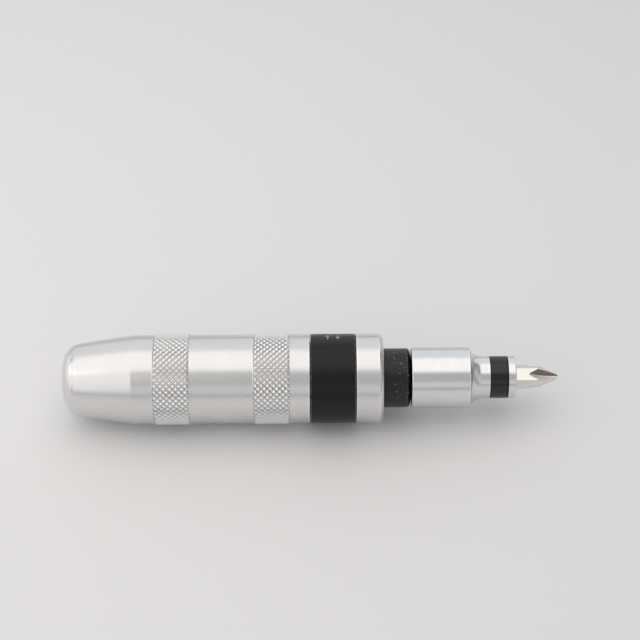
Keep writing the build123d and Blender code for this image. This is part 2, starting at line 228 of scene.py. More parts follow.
def finish_piece(piece, body, slot, material, *replaced, sharp=35):
    """Clean a piece, smooth its shading over small edges, and give it its material and its body.
    The slot argument is not used."""
    clean_cuts(piece)
    bpy.ops.object.transform_apply(location=True, rotation=True, scale=True)
    bpy.ops.object.shade_smooth_by_angle(angle=radians(sharp))
    weighting = piece.modifiers.new("even_shading", "WEIGHTED_NORMAL")
    weighting.keep_sharp = True
    bpy.ops.object.modifier_apply(modifier=weighting.name)
    piece.data.materials.clear()
    piece.data.materials.append(material)
    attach(piece, body)
    if replaced:
        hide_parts(*replaced)


knurl_columns = 46
knurl_rows = 7
knurl_depth = 0.45 * mm
knurl_flank = 0.5 * mm
crest_round = 0.1 * mm
knurl_edge = 0.3 * mm
rim_length = 0.25 * mm
rim_height = 0.08 * mm
relief_depth = 0.05 * mm
valley_radius = crest_radius - knurl_depth
relief_radius = valley_radius - relief_depth


def add_knurl_band(start_x, end_x):
    """A band of diamonds round the barrel: a net of squares is poked, its straight edges are
    dissolved to leave the diamonds, each is raised to a blunt pyramid, and the ends are
    bevelled."""
    pitch = 2 * pi * valley_radius / knurl_columns
    net_x = (start_x + end_x) / 2 - knurl_rows * pitch / 2
    band = start_piece("knurl", bpy.ops.mesh.primitive_circle_add, vertices=knurl_columns,
                       radius=valley_radius, location=(net_x, 0, 0), rotation=(0, pi / 2, 0))
    for row in range(knurl_rows):
        bpy.ops.mesh.extrude_region_move(TRANSFORM_OT_translate={"value": (pitch, 0, 0)})
    bpy.ops.mesh.select_all(action="SELECT")
    bpy.ops.mesh.normals_make_consistent(inside=False)
    sagitta = valley_radius * (1 - cos(pi / knurl_columns))
    bpy.ops.mesh.poke(offset=sagitta)

    def straight(edge):
        run = (edge.verts[1].co - edge.verts[0].co).normalized()
        return (abs(run.x) > 0.9 or abs(run.x) < 0.1) and not edge.is_boundary

    select_where(band.data, "EDGE", straight)
    bpy.ops.mesh.dissolve_edges(use_verts=False)
    bpy.ops.mesh.select_all(action="SELECT")
    bpy.ops.mesh.inset(thickness=knurl_flank, depth=knurl_depth - crest_round,
                       use_individual=True, use_boundary=True)
    bpy.ops.mesh.inset(thickness=crest_round, depth=crest_round, use_individual=True)
    for band_end, side in ((start_x, -1), (end_x, 1)):
        for cut_x in (band_end, band_end - side * knurl_edge):
            bpy.ops.mesh.select_all(action="SELECT")
            bpy.ops.mesh.bisect(plane_co=(cut_x, 0, 0), plane_no=(side, 0, 0),
                                clear_outer=cut_x == band_end)
        select_where(band.data, "VERT", lambda vert: abs(vert.co.x - band_end) < place_reach
                     and vert.co.yz.length > plain_radius)
        squeeze = plain_radius / crest_radius
        bpy.ops.transform.resize(value=(1, squeeze, squeeze), center_override=(band_end, 0, 0))
    bpy.ops.object.mode_set(mode="OBJECT")
    return band


head_steps = 8
first_head_step = 2
head_outline = [(0, 0), (0, head_radius)]
for step in range(first_head_step, head_steps + 1):
    share = step / head_steps
    swell = 4 * head_crown * share * (1 - share)
    head_outline.append((head_length * share,
                         head_radius + (plain_radius - head_radius) * share + swell))

rear_rim_x = rear_knurl_x + rim_length
grip_x = rear_knurl_x + knurl_length
front_rim_x = front_knurl_x + rim_length
nose_x = front_knurl_x + knurl_length
rim_radius = plain_radius + rim_height
head_outline += [(rear_knurl_x, plain_radius), (rear_rim_x, rim_radius),
                 (rear_rim_x, relief_radius)]
barrel = draw_outline("striking_barrel_skin", head_outline)
round_corner(barrel, 0, head_radius, face_corner * face_corner_share, face_corner_steps)
turn_on_lathe(barrel, lathe_sides, head_length, rear_knurl_x, rear_rim_x)

grip = draw_outline("grip", [(grip_x - rim_length, relief_radius),
                             (grip_x - rim_length, rim_radius), (grip_x, plain_radius),
                             (front_knurl_x, plain_radius), (front_rim_x, rim_radius),
                             (front_rim_x, relief_radius)])
turn_on_lathe(grip, lathe_sides, grip_x - rim_length, grip_x, front_knurl_x, front_rim_x)

nose_outline = [(nose_x - rim_length, relief_radius), (nose_x - rim_length, rim_radius),
                (nose_x, plain_radius), (shoulder_x, plain_radius), (shoulder_x, nose_radius)]
for seal in ("ring_seal_rear", "ring_seal_front"):
    seal_low, seal_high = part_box(seal)
    groove_radius = nose_radius - (seal_high.x - seal_low.x) - fit_gap
    nose_outline += [(seal_low.x - fit_gap, nose_radius), (seal_low.x - fit_gap, groove_radius),
                     (seal_high.x + fit_gap, groove_radius), (seal_high.x + fit_gap, nose_radius)]
nose_outline += [(nose_end_x, nose_radius), (nose_end_x, bore_radius),
                 (bore_bottom_x, bore_radius), (bore_bottom_x, 0)]
nose = draw_outline("nose", nose_outline)
round_corner(nose, shoulder_x, plain_radius, shoulder_edge, fine_round)
round_corner(nose, nose_end_x, nose_radius, nose_edge, chamfer)
turn_on_lathe(nose, lathe_sides, nose_x - rim_length, nose_x)

bands = [add_knurl_band(x + rim_length, x + knurl_length - rim_length)
         for x in (rear_knurl_x, front_knurl_x)]
pick(barrel, grip, nose, *bands)
bpy.ops.object.join()
bpy.ops.object.mode_set(mode="EDIT")
for seam_x in (rear_rim_x, grip_x - rim_length, front_rim_x, nose_x - rim_length):
    select_where(barrel.data, "EDGE", lambda edge: edge.is_boundary and all(
        abs(vert.co.x - seam_x) < 2 * place_reach for vert in edge.verts))
    bpy.ops.mesh.bridge_edge_loops()
bpy.ops.mesh.select_all(action="SELECT")
bpy.ops.mesh.normals_make_consistent(inside=False)
bpy.ops.object.mode_set(mode="OBJECT")

slot_radius = pin_radius + 2 * fit_gap
pin_middle = Vector((pin_x, 0, 0))
for turn in (0, selector_turn):
    reach = side_direction(turn) * plain_radius
    shape_with(barrel, add_peg(slot_radius, pin_middle - reach, pin_middle + reach))
for side in (0, 180):
    shape_with(barrel, add_sector(pin_x - slot_radius, pin_x + slot_radius,
                                  bore_radius - overrun / 2, nose_radius + overrun / 2,
                                  side, side + selector_turn))
detent_ball_radius = (detent_high.x - detent_low.x) / 2
detent_y = detent_high.y - detent_ball_radius
for side in (-1, 1):
    hole_bottom = Vector((shoulder_x - detent_depth, side * detent_y, 0))
    shape_with(barrel, add_peg(detent_ball_radius + fit_gap, hole_bottom,
                               Vector((shoulder_x + overrun, side * detent_y, 0))))


class Wire:
    """An output of a material's nodes. Sums on it add Math nodes, and node() adds any other."""

    def __init__(self, tree, socket=None):
        self.tree = tree
        self.socket = socket

    def node(self, kind, settings={}, inputs={}, output=0):
        """Add a node: its settings first, then the values or wires of its sockets."""
        made = self.tree.nodes.new(kind)
        for name, value in settings.items():
            setattr(made, name, value)
        for name, value in inputs.items():
            if isinstance(value, Wire):
                self.tree.links.new(value.socket, made.inputs[name])
            else:
                made.inputs[name].default_value = value
        return Wire(self.tree, made.outputs[output])

    def maths(self, operation, *values):
        """A Math node on this wire and any further values."""
        return self.node("ShaderNodeMath", {"operation": operation}, dict(enumerate(values)))

    def __add__(self, other):
        return self.maths("ADD", self, other)

    def __radd__(self, other):
        return self.maths("ADD", other, self)

    def __sub__(self, other):
        return self.maths("SUBTRACT", self, other)

    def __rsub__(self, other):
        return self.maths("SUBTRACT", other, self)

    def __mul__(self, other):
        return self.maths("MULTIPLY", self, other)

    def __rmul__(self, other):
        return self.maths("MULTIPLY", other, self)


def start_finish(name, colour, metallic, roughness, **constants):
    """A new material with its plain values; gives it, its shader and places on it in mm."""
    material = bpy.data.materials.new(name)
    material.use_nodes = True
    shader = material.node_tree.nodes["Principled BSDF"]
    plain = {"Base Color": (*colour, 1), "Metallic": metallic, "Roughness": roughness}
    for socket, value in {**plain, **constants}.items():
        shader.inputs[socket.replace("_", " ")].default_value = value
    place = Wire(material.node_tree).node("ShaderNodeTexCoord", output="Object")
    place = place.node("ShaderNodeVectorMath", {"operation": "SCALE"},
                       {0: place, "Scale": 1 / mm})
    return material, shader, place


def feed(shader, wires):
    """Lead wires into the shader's sockets."""
    for socket, wire in wires.items():
        wire.tree.links.new(wire.socket, shader.inputs[socket])


def along_and_out(place):
    """How far along the tool a point lies and how far out from its axis, in mm."""
    x, y, z = (place.node("ShaderNodeSeparateXYZ", {}, {0: place}, axis) for axis in "XYZ")
    return x, x.maths("SQRT", y * y + z * z)


def clouds(place, per_mm, detail=2):
    """Soft noise from 0 to 1, with so many lumps per millimetre."""
    return place.node("ShaderNodeTexNoise", {}, {"Vector": place, "Scale": per_mm,
                                                 "Detail": detail}, "Fac")


def turning_lines(x, radius, per_mm):
    """Fine lines from the lathe, round the axis on cylinders, cones and flat ends alike."""
    return x.node("ShaderNodeTexNoise", {"noise_dimensions": "1D"},
                  {"W": x + radius, "Scale": per_mm, "Detail": 3}, "Fac")


def rise(value, low, high):
    """A mask that is 0 where the value is under low, 1 over high, and smooth between."""
    return value.node("ShaderNodeMapRange", {"interpolation_type": "SMOOTHSTEP"},
                      {"Value": value, "From Min": low, "From Max": high})


def between(value, low, high, soft):
    """A mask that is 1 from the low value to the high one, and fades out beyond them."""
    return rise(value, low - soft, low) * (1 - rise(value, high, high + soft))


def tint(mask, first, second):
    """The first colour where the mask is 0 and the second where it is 1."""
    colours = {key: colour if isinstance(colour, Wire) else (*colour, 1)
               for key, colour in ((6, first), (7, second))}
    return mask.node("ShaderNodeMix", {"data_type": "RGBA"}, {"Factor": mask, **colours}, 2)


def dents(height, depth):
    """Small relief, whose height from 0 to 1 stands for so much depth."""
    return height.node("ShaderNodeBump", {}, {"Height": height, "Distance": depth}, "Normal")


def make_blasted_steel(name):
    """Bead-blasted bright steel. Its knurls are smoother, with painted shade in their valleys;
    the edges beside the ring and round the collar's front carry a painted highlight, and the
    joints by the ring carry painted shade."""
    material, shader, place = start_finish(name, (0.74, 0.735, 0.73), 1, 0.27)
    x, radius = along_and_out(place)
    shoulder, collar, front = shoulder_x / mm, collar_low.x / mm, collar_high.x / mm
    knurl_end, valley_rise, crest_fall = knurl_edge / mm, 0.09, 0.12
    highlight_start, highlight_end, rub_fade = 0.2, 0.6, 0.1
    front_round, front_highlight_width = 1.5, 0.3
    gap_shade_width, gap_shade_fade = 0.12, 0.05
    beads = clouds(place, 6, 3)
    haze = clouds(place, 0.09)
    lines = turning_lines(x, radius, 5)
    knurl = sum(between(x, band_x / mm + knurl_end, (band_x + knurl_length) / mm - knurl_end, 0.05)
                for band_x in (rear_knurl_x, front_knurl_x))
    # Painted shade: the knurl's valleys are darkened as if shade falls in them.
    painted_valley_shade = knurl * (1 - rise(radius, valley_radius / mm, valley_radius / mm + valley_rise))
    crest = knurl * rise(radius, crest_radius / mm - crest_fall, crest_radius / mm)
    colour = tint(haze, (0.77, 0.765, 0.76), (0.71, 0.705, 0.70))
    colour = tint(knurl, colour, (0.8, 0.795, 0.79))
    colour = tint(painted_valley_shade * 0.85, colour, (0.2, 0.195, 0.19))
    # Painted highlight: pale bands on the edges beside the ring and on the collar's front round,
    # where they catch the light.
    rubbed = (between(x, shoulder - highlight_end, shoulder - highlight_start, rub_fade)
              + between(x, collar + highlight_start, collar + highlight_end, rub_fade)
              + between(x, front - front_round - front_highlight_width, front - front_round, rub_fade))
    colour = tint(rubbed, colour, (0.84, 0.83, 0.825))
    # Painted shade: near black in the joints beside the ring, where the gaps between the parts lie
    # in shade.
    painted_gap_shade = between(x, shoulder - gap_shade_width, collar + gap_shade_width, gap_shade_fade)
    colour = tint(painted_gap_shade, colour, (0.02, 0.02, 0.02))
    feed(shader, {"Base Color": colour,
                  "Roughness": 0.24 + haze * 0.04 + beads * 0.03 - knurl * 0.04 - crest * 0.04,
                  "Normal": dents(beads * 0.7 + lines * 0.3, 0.006 * mm)})
    return material


blasted_steel = make_blasted_steel("blasted_steel")
finish_piece(barrel, "barrel", "barrel_steel", blasted_steel, "striking_barrel")

# Return spring, its rear washer and its seat: a stout coil of oiled spring wire pushes the
# spindle forward after a blow. It stands between two hard ground washers with short pilots, and
# shortens as the spindle comes in.
coil_low, coil_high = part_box("return_spring")
stroke = 8.0 * mm
coil_turns = 8
coil_steps = 40
wire_radius = 1.7 * mm
wire_sides = 18

end_reach = 1.1 * wire_radius
coil_x, coil_end_x = coil_low.x + wire_radius, coil_high.x - wire_radius
coil = start_piece("return_spring_coil", bpy.ops.mesh.primitive_circle_add, vertices=wire_sides,
                   radius=wire_radius, location=(coil_x, 0, coil_high.z - wire_radius),
                   rotation=(pi / 2, 0, 0))
bpy.ops.object.mode_set(mode="OBJECT")
winding = coil.modifiers.new("winding", "SCREW")
winding.axis = "X"
winding.iterations = coil_turns
winding.screw_offset = (coil_end_x - coil_x) / coil_turns
winding.steps = coil_steps
winding.render_steps = coil_steps
bpy.ops.object.modifier_apply(modifier=winding.name)
bpy.ops.object.mode_set(mode="EDIT")
for end_x in (coil_x, coil_end_x):
    select_where(coil.data, "EDGE", lambda edge: edge.is_boundary and all(
        abs(vert.co.x - end_x) < end_reach for vert in edge.verts))
    bpy.ops.mesh.edge_face_add()
bpy.ops.mesh.select_all(action="SELECT")
bpy.ops.mesh.normals_make_consistent(inside=False)
bpy.ops.object.mode_set(mode="OBJECT")


def dress(material, *names):
    """Give CAD pieces whose shape is right their finish."""
    for name in names:
        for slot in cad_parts[name].material_slots:
            slot.material = material


def make_ground_steel(name):
    """Hardened steel, ground to a fine grey with a trace of oil."""
    material, shader, place = start_finish(name, (0.6, 0.6, 0.62), 1, 0.22)
    x, radius = along_and_out(place)
    grinding = turning_lines(x, radius, 9)
    oil = rise(clouds(place, 0.5), 0.45, 0.62)
    colour = tint(clouds(place, 0.3), (0.64, 0.64, 0.66), (0.54, 0.54, 0.57))
    feed(shader, {"Base Color": tint(oil * 0.5, colour, (0.45, 0.42, 0.38)),
                  "Roughness": 0.2 + grinding * 0.1 - oil * 0.05,
                  "Normal": dents(grinding, 0.004 * mm)})
    return material


def make_spring_wire(name):
    """Drawn and tempered spring wire, blue-grey, with brown oil in patches."""
    material, shader, place = start_finish(name, (0.3, 0.31, 0.33), 1, 0.36)
    temper = clouds(place, 0.6, 3)
    oil = rise(clouds(place, 0.25), 0.5, 0.66)
    colour = tint(temper, (0.22, 0.24, 0.28), (0.38, 0.38, 0.38))
    feed(shader, {"Base Color": tint(oil * 0.6, colour, (0.2, 0.16, 0.12)),
                  "Roughness": 0.38 + temper * 0.08 - oil * 0.14,
                  "Normal": dents(clouds(place, 4, 3), 0.008 * mm)})
    return material


ground_steel = make_ground_steel("ground_steel")
spring_wire = make_spring_wire("spring_wire")
dress(ground_steel, "rear_washer", "spring_seat")
finish_piece(coil, "barrel", "spring_steel", spring_wire, "return_spring")
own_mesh(coil)

# Spindle: a turned and hardened shank with a three-cornered slot milled through it, in which
# the cross pin runs, and a half-inch square with its sprung ball. It is phosphated black.
spindle_low, spindle_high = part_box("spindle")
holder_low, holder_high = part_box("bit_holder")
drive_ball_low, drive_ball_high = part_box("square_detent_ball")
working_turn = 31
spindle_turn = 20
spindle_radius = bore_radius - fit_gap
tail_edge = 0.6 * mm
neck_edge = 1.0 * mm
holder_gap = 0.5 * mm
neck_end_x = holder_low.x - holder_gap
drive_width = 12.7 * mm
drive_corner = 8.35 * mm
drive_edge = 0.8 * mm
drive_hole_bottom = 1.17 * mm
pin_corner_radius = pin_radius / cos(radians(spindle_turn)) + 2 * fit_gap


def add_square_bar(start_x, end_x, width, corner_radius, edge):
    """A square bar with round corners along the tool, turned as the bit is, with a bevelled
    front end."""
    bar = draw_outline("square_bar", [(start_x, 0), (start_x, corner_radius),
                                      (end_x, corner_radius), (end_x, 0)])
    round_corner(bar, end_x, corner_radius, edge, chamfer)
    turn_on_lathe(bar, lathe_sides)
    bpy.ops.object.mode_set(mode="EDIT")
    along = Vector((1, 0, 0))
    for side in range(4):
        outward = side_direction(working_turn + 90 * side)
        flat = outward * width / 2
        for point, normal in ((flat, outward), (flat + along * (end_x - edge), outward + along)):
            bpy.ops.mesh.select_all(action="SELECT")
            bpy.ops.mesh.bisect(plane_co=point, plane_no=normal, use_fill=True,
                                clear_outer=True)
    bpy.ops.object.mode_set(mode="OBJECT")
    return bar


spindle = draw_outline("spindle_shank", [(spindle_low.x, 0), (spindle_low.x, spindle_radius),
                                         (neck_end_x, spindle_radius), (neck_end_x, 0)])
round_corner(spindle, spindle_low.x, spindle_radius, tail_edge, small_round)
round_corner(spindle, neck_end_x, spindle_radius, neck_edge, small_round)
turn_on_lathe(spindle, lathe_sides)
shape_with(spindle, add_square_bar(neck_end_x - overrun, spindle_high.x, drive_width,
                                   drive_corner, drive_edge), "UNION")

across = Vector((0, cos(radians(spindle_turn)), sin(radians(spindle_turn))))
slot_half_width = spindle_radius * sin(radians(spindle_turn))
slot_corners = [pin_middle + across * slot_half_width, pin_middle - across * slot_half_width,
                pin_middle + Vector((stroke, 0, 0))]
mill = {"vertices": 48, "radius": pin_corner_radius, "depth": 2 * spindle_radius + 2 * overrun,
        "rotation": (radians(spindle_turn), 0, 0)}
slot = start_piece("slot", bpy.ops.mesh.primitive_cylinder_add, location=slot_corners[0], **mill)
for corner in slot_corners[1:]:
    bpy.ops.mesh.primitive_cylinder_add(location=corner, **mill)
bpy.ops.mesh.select_all(action="SELECT")
bpy.ops.mesh.convex_hull()
bpy.ops.object.mode_set(mode="OBJECT")
shape_with(spindle, slot)

drive_ball_x = (drive_ball_low.x + drive_ball_high.x) / 2
drive_ball_radius = (drive_ball_high.x - drive_ball_low.x) / 2
ball_side = side_direction(working_turn)
ball_middle = Vector((drive_ball_x, 0, 0))
shape_with(spindle, add_peg(drive_ball_radius + fit_gap,
                            ball_middle - ball_side * drive_hole_bottom,
                            ball_middle + ball_side * drive_width))


def make_black_phosphate(name):
    """Rough black phosphate on steel, rubbed brown in clouds and worn through in specks."""
    material, shader, place = start_finish(name, (0.012, 0.010, 0.009), 0, 0.43,
                                           Specular_IOR_Level=0.42)
    x, radius = along_and_out(place)
    grain = clouds(place, 2.6, 4)
    rubbed = clouds(place, 0.45, 3)
    specks = rise(clouds(place, 2.2, 1), 0.69, 0.73) * rise(rubbed, 0.45, 0.6)
    edge_x, end_shade_fade, wear_width, wear_fade = (neck_end_x - neck_edge) / mm, 0.15, 0.1, 0.12
    # Painted shade: the bevel at the neck's front end is near black and fully metallic, so that it
    # shows no reflection and reads as shade.
    painted_end_shade = rise(x, edge_x, edge_x + end_shade_fade)
    worn_edge = between(x, edge_x - wear_width, edge_x, wear_fade)
    lines = turning_lines(x, radius, 3)
    colour = tint(rubbed, (0.003, 0.0025, 0.002), (0.012, 0.0095, 0.008))
    colour = tint(worn_edge * rise(grain, 0.4, 0.6) * 0.8, colour, (0.12, 0.11, 0.10))
    colour = tint(painted_end_shade, colour, (0.004, 0.004, 0.004))
    feed(shader, {"Base Color": tint(specks, colour, (0.5, 0.48, 0.46)),
                  "Metallic": painted_end_shade,
                  "Roughness": 0.3 + grain * 0.12,
                  "Normal": dents(grain * 0.75 + lines * 0.25, 0.04 * mm)})
    return material


black_phosphate = make_black_phosphate("black_phosphate")
finish_piece(spindle, "spindle", "spindle_black", black_phosphate, "spindle")
dress(ground_steel, "square_detent_ball")
dress(spring_wire, "square_detent_spring")

# Detents and seals of the direction ring: two sprung balls in the barrel's shoulder snap into
# its track, and two rubber rings in grooves of the nose keep its grease in.


def make_rubber(name):
    """Matt black seal rubber with a fine grain and a bloom of dust."""
    material, shader, place = start_finish(name, (0.03, 0.03, 0.03), 0, 0.7)
    grain = clouds(place, 5, 3)
    bloom = rise(clouds(place, 0.7), 0.5, 0.75)
    feed(shader, {"Base Color": tint(bloom, (0.022, 0.022, 0.023), (0.06, 0.058, 0.055)),
                  "Roughness": 0.62 + grain * 0.18,
                  "Normal": dents(grain, 0.02 * mm)})
    return material


seal_rubber = make_rubber("seal_rubber")
dress(ground_steel, "detent_balls")
dress(spring_wire, "detent_springs")
dress(seal_rubber, "ring_seal_rear", "ring_seal_front")

# Drive pin: a short hard roller through the nose and the spindle, its ends held by the ring.
dress(ground_steel, "drive_pin")

# Direction ring: a turned steel ring that slides on over the nose. Two keyways hold the ends of
# the pin and a track with dimples takes the detent balls. It is blacked to a satin, and two
# small painted arrows show its two ways.
ring_edge = 0.22 * mm
key_gap = 0.15 * mm
ball_reach = 0.25 * mm
dimple_depth = 0.45 * mm
ring_bore_radius = nose_radius + fit_gap

ring = draw_outline("direction_ring_skin", [(ring_low.x, ring_bore_radius),
                                            (ring_low.x, plain_radius),
                                            (ring_high.x, plain_radius),
                                            (ring_high.x, ring_bore_radius),
                                            (ring_low.x, ring_bore_radius)])
round_corner(ring, ring_low.x, plain_radius, ring_edge, fine_round)
round_corner(ring, ring_high.x, plain_radius, ring_edge, fine_round)
turn_on_lathe(ring, lathe_sides)

track_depth = ball_reach + fit_gap
track_half_width = 0.69 * mm
dimple_radius = 0.85 * mm
for track_end in (-90, 90):
    for dimple_turn in (track_end, track_end - selector_turn):
        dimple_bottom = side_direction(dimple_turn) * detent_y
        dimple_bottom.x = ring_low.x + dimple_depth
        dimple_top = dimple_bottom - Vector((overrun, 0, 0))
        shape_with(ring, add_peg(dimple_radius, dimple_bottom, dimple_top))
    shape_with(ring, add_sector(ring_low.x - overrun, ring_low.x + track_depth,
                                detent_y - track_half_width, detent_y + track_half_width,
                                track_end - selector_turn, track_end))

key_radius = pin_radius + fit_gap
key_reach = Vector((0, 0, pin_high.z + key_gap))
shape_with(ring, add_peg(key_radius, pin_middle - key_reach, pin_middle + key_reach))
key_length = ring_high.x + overrun - pin_x
keyway = start_piece("keyway", bpy.ops.mesh.primitive_cube_add, size=1,
                     location=(pin_x + key_length / 2, 0, 0),
                     scale=(key_length, 2 * key_radius, 2 * key_reach.z))
bpy.ops.object.mode_set(mode="OBJECT")
shape_with(ring, keyway)


def make_black_oxide(name):
    """Satin black oxide over fine turning lines, rubbed to steel along both edges."""
    material, shader, place = start_finish(name, (0.004, 0.004, 0.0045), 0, 0.28,
                                           Specular_IOR_Level=0.3)
    x, radius = along_and_out(place)
    lines = turning_lines(x, radius, 4)
    smears = clouds(place, 0.35, 3)
    rub_fade, skin_start, skin_end = 0.12, 0.5, 0.3
    edge = 1 - between(x, (ring_low.x + ring_edge) / mm, (ring_high.x - ring_edge) / mm, rub_fade)
    outside = rise(radius, plain_radius / mm - skin_start, plain_radius / mm - skin_end)
    rubbed = edge * outside * rise(clouds(place, 1.2, 2), 0.3, 0.6)
    colour = tint(smears, (0.0025, 0.0025, 0.003), (0.005, 0.005, 0.0055))
    feed(shader, {"Base Color": tint(rubbed, colour, (0.42, 0.40, 0.38)),
                  "Metallic": rubbed * 0.8,
                  "Roughness": 0.26 + smears * 0.06 + lines * 0.04,
                  "Normal": dents(lines * 0.6 + clouds(place, 7, 2) * 0.4, 0.006 * mm)})
    return material


finish_piece(ring, "direction_ring", "ring_black", make_black_oxide("black_oxide"),
             "direction_ring")

mark_turn = -22
mark_offset = 1.9 * mm
mark_length = 4.4 * mm
mark_stem_width = 0.45 * mm
mark_head_width = 1.9 * mm
mark_head_length = 2.2 * mm
mark_paint_thickness = 0.05 * mm
mark_cuts = 11


def add_arrow(x, heading):
    """A flat arrow laid on the ring at x, pointing round it one way or the other."""
    tail, neck, tip = -mark_length / 2, mark_length / 2 - mark_head_length, mark_length / 2
    sides = [(mark_stem_width / 2, tail), (mark_stem_width / 2, neck),
             (mark_head_width / 2, neck), (0, tip)]
    corners = sides + [(-across, along) for across, along in reversed(sides[:-1])]
    arrow = start_piece("direction_mark", bpy.ops.mesh.primitive_plane_add, size=mm)
    bpy.ops.mesh.merge(type="CENTER")
    bpy.ops.transform.translate(value=(corners[0][0], corners[0][1] * heading, 0))
    for corner, following in zip(corners, corners[1:] + corners[:1]):
        step = (following[0] - corner[0], (following[1] - corner[1]) * heading, 0)
        bpy.ops.mesh.extrude_region_move(TRANSFORM_OT_translate={"value": step})
    bpy.ops.mesh.select_all(action="SELECT")
    bpy.ops.mesh.remove_doubles(threshold=weld_reach)
    bpy.ops.mesh.select_all(action="SELECT")
    bpy.ops.mesh.edge_face_add()
    for cut in range(1, mark_cuts):
        bpy.ops.mesh.select_all(action="SELECT")
        bpy.ops.mesh.bisect(plane_co=(0, tail + mark_length * cut / mark_cuts, 0),
                            plane_no=(0, 1, 0))
    bpy.ops.object.mode_set(mode="OBJECT")
    arrow.rotation_euler = (radians(mark_turn), 0, 0)
    arrow.location = side_direction(mark_turn) * plain_radius + Vector((x, 0, 0))
    bpy.ops.object.transform_apply(location=True, rotation=True, scale=True)
    laid = arrow.modifiers.new("laid", "SHRINKWRAP")
    laid.target = ring
    bpy.ops.object.modifier_apply(modifier=laid.name)
    paint = arrow.modifiers.new("paint", "SOLIDIFY")
    paint.thickness = mark_paint_thickness
    paint.offset = 0
    bpy.ops.object.modifier_apply(modifier=paint.name)
    bpy.ops.object.mode_set(mode="EDIT")
    bpy.ops.mesh.select_all(action="SELECT")
    bpy.ops.mesh.normals_make_consistent(inside=False)
    bpy.ops.object.mode_set(mode="OBJECT")
    return arrow


def make_mark_paint(name):
    """White paint of the marks, chipped grey in places."""
    material, shader, place = start_finish(name, (0.7, 0.7, 0.69), 0, 0.55)
    chips = rise(clouds(place, 2.2, 2), 0.52, 0.66)
    feed(shader, {"Base Color": tint(chips, (0.3, 0.3, 0.295), (0.1, 0.098, 0.095)),
                  "Roughness": 0.5 + chips * 0.15,
                  "Normal": dents(clouds(place, 6), 0.01 * mm)})
    return material


marks = add_arrow(pin_x - mark_offset, 1)
marks.name = "direction_marks"
pick(marks, add_arrow(pin_x + mark_offset, -1))
bpy.ops.object.join()
finish_piece(marks, "direction_ring", None, make_mark_paint("mark_paint"))

# Front bush and dust seal: the spindle slides in a bronze bush that the collar clamps against
# the nose, and a rubber ring in the collar's mouth wipes its neck.


def make_sintered_bronze(name):
    """Sintered bronze, its pores dark with oil."""
    material, shader, place = start_finish(name, (0.72, 0.52, 0.3), 1, 0.4)
    pores = rise(clouds(place, 5, 2), 0.56, 0.66)
    colour = tint(clouds(place, 0.5), (0.76, 0.56, 0.33), (0.62, 0.43, 0.24))
    feed(shader, {"Base Color": tint(pores, colour, (0.16, 0.1, 0.05)),
                  "Roughness": 0.36 + pores * 0.2,
                  "Normal": dents(1 - pores, 0.02 * mm)})
    return material


dress(make_sintered_bronze("sintered_bronze"), "front_bush")
dress(seal_rubber, "dust_seal")

# Front collar: turned from the same steel as the barrel and screwed on its nose, with a rounded
# front. It holds the direction ring, the bush and the dust seal in place.
bush_low, bush_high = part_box("front_bush")
dust_low, dust_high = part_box("dust_seal")
collar_edge = 0.3 * mm
collar_round = 1.5 * mm
collar_round_steps = 6
collar_round_profile = 0.33
lip_clearance = 0.15 * mm
mouth_radius = bore_radius + lip_clearance
seat_radius = bush_high.z
groove_gap = 0.1 * mm

collar = draw_outline("front_collar_skin", [
    (collar_low.x, nose_radius), (collar_low.x, plain_radius), (collar_high.x, plain_radius),
    (collar_high.x, mouth_radius), (dust_high.x + groove_gap, mouth_radius),
    (dust_high.x + groove_gap, dust_high.z), (dust_low.x - groove_gap, dust_high.z),
    (dust_low.x - groove_gap, mouth_radius), (bush_high.x, mouth_radius),
    (bush_high.x, seat_radius), (bush_low.x, seat_radius), (bush_low.x, nose_radius),
    (collar_low.x, nose_radius)])
round_corner(collar, collar_low.x, plain_radius, collar_edge, small_round)
round_corner(collar, collar_high.x, plain_radius, collar_round, collar_round_steps,
             collar_round_profile)
turn_on_lathe(collar, lathe_sides, collar_high.x - collar_round)
finish_piece(collar, "barrel", "barrel_steel", blasted_steel, "front_collar")

# Bit holder: one turned bar with a square socket behind for the spindle and a hexagon socket in
# front for the bit, drawn in to a waist between them. It is plated in satin chrome.
band_low, band_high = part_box("holder_band")
bit_ball_low, bit_ball_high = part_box("bit_retaining_ball")
holder_radius = (holder_high.y - holder_low.y) / 2
holder_edge = 0.6 * mm
holder_step = 0.25 * mm
body_length = 22.1 * mm
waist_run = 4.95 * mm
band_thickness = 1.0 * mm
body_end_x = holder_low.x + body_length
stem_x = body_end_x + waist_run
stem_radius = band_high.z
band_seat_radius = stem_radius - band_thickness
groove_edge = 0.15 * mm
lip_edge = 0.5 * mm
socket_gap = 0.12 * mm
socket_end_gap = 0.5 * mm
web_thickness = 4.05 * mm
hexagon_width = 8.0 * mm
hexagon_gap = 0.08 * mm
flat_share = cos(radians(30))
mouth_depth = 0.5 * mm
mouth_spread = 0.35 * mm
waist_steps = 10

shoulder_top = holder_radius - holder_edge - holder_step
waist_rise = shoulder_top - stem_radius
waist_radius = (waist_run ** 2 + waist_rise ** 2) / (2 * waist_rise)
waist_angle = asin(waist_run / waist_radius)
waist = [(stem_x - waist_radius * sin(waist_angle * step / waist_steps),
          stem_radius + waist_radius * (1 - cos(waist_angle * step / waist_steps)))
         for step in range(waist_steps, -1, -1)]

holder = draw_outline("bit_holder_skin", [
    (holder_low.x, 0), (holder_low.x, holder_radius), (body_end_x, holder_radius), *waist,
    (band_low.x, stem_radius), (band_low.x, band_seat_radius),
    (band_high.x, band_seat_radius), (band_high.x, stem_radius),
    (holder_high.x, stem_radius), (holder_high.x, 0)])
for corner_x, corner_radius, edge in ((holder_low.x, holder_radius, holder_edge),
                                      (body_end_x, holder_radius, holder_edge),
                                      (band_low.x, stem_radius, groove_edge),
                                      (band_high.x, stem_radius, groove_edge),
                                      (holder_high.x, stem_radius, lip_edge)):
    round_corner(holder, corner_x, corner_radius, edge, small_round)
turn_on_lathe(holder, lathe_sides)


